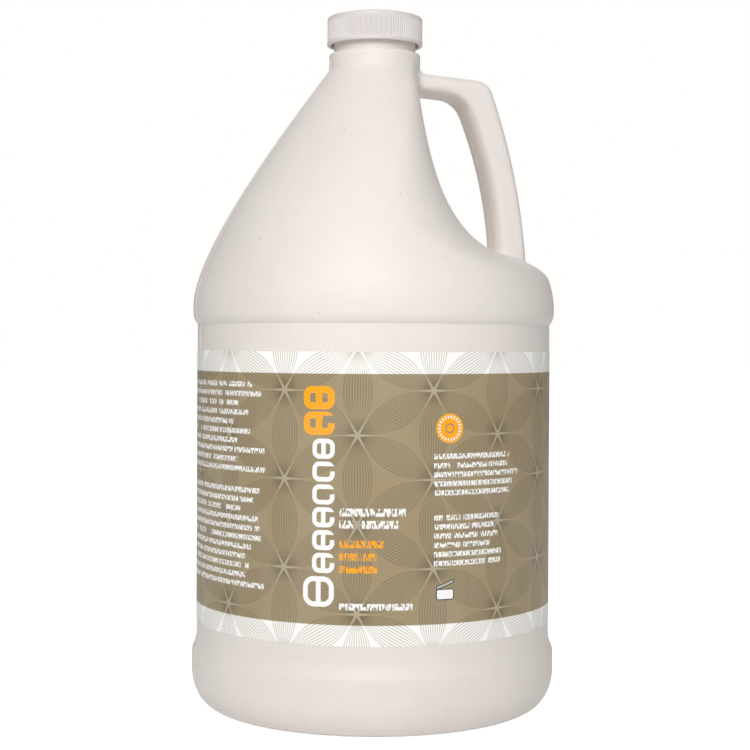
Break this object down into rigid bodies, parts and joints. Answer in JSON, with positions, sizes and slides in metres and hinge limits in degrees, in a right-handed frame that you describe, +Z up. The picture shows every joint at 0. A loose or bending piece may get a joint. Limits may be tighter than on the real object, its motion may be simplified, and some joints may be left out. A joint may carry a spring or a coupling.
{
  "type": "oil bottle",
  "caption": "Round plastic massage-oil bottle with a hollow carrying handle in its shoulder, a ribbed screw cap on a threaded neck and a wrap-round label.",
  "frame": {"origin": "centre of the base, on the surface that the bottle stands on", "axes": "+Z up along the bottle's axis, +X towards the handle, the handle's plane is XZ"},
  "size_m": [0.155, 0.155, 0.2943],
  "materials": {
    "jug_plastic": "milky blow-moulded polyethylene, satin, with a faint mould texture",
    "liner_foam": "fine closed-cell foam",
    "cap_plastic": "white injection-moulded polypropylene, satin",
    "label_film": "printed film, tan with white bands and a fine line pattern, semi-gloss"
  },
  "bodies": {
    "jug": {"jug": "jug_plastic", "label": "label_film"},
    "liner": {"cap_liner": "liner_foam"},
    "cap": {"cap": "cap_plastic"}
  },
  "joints": [
    {"name": "cap_lift", "type": "slide", "parent": "jug", "child": "liner", "axis": [0, 0, 1], "range_m": [0, 0.0128]},
    {"name": "cap_turn", "type": "hinge", "parent": "liner", "child": "cap", "pos_m": [0, 0, 0.29], "axis": [0, 0, 1], "range_deg": [0, 1080]}
  ],
  "couplings": [
    {"joint": "cap_lift", "follows": "cap_turn", "m_per_rad": 0.00067375}
  ]
}
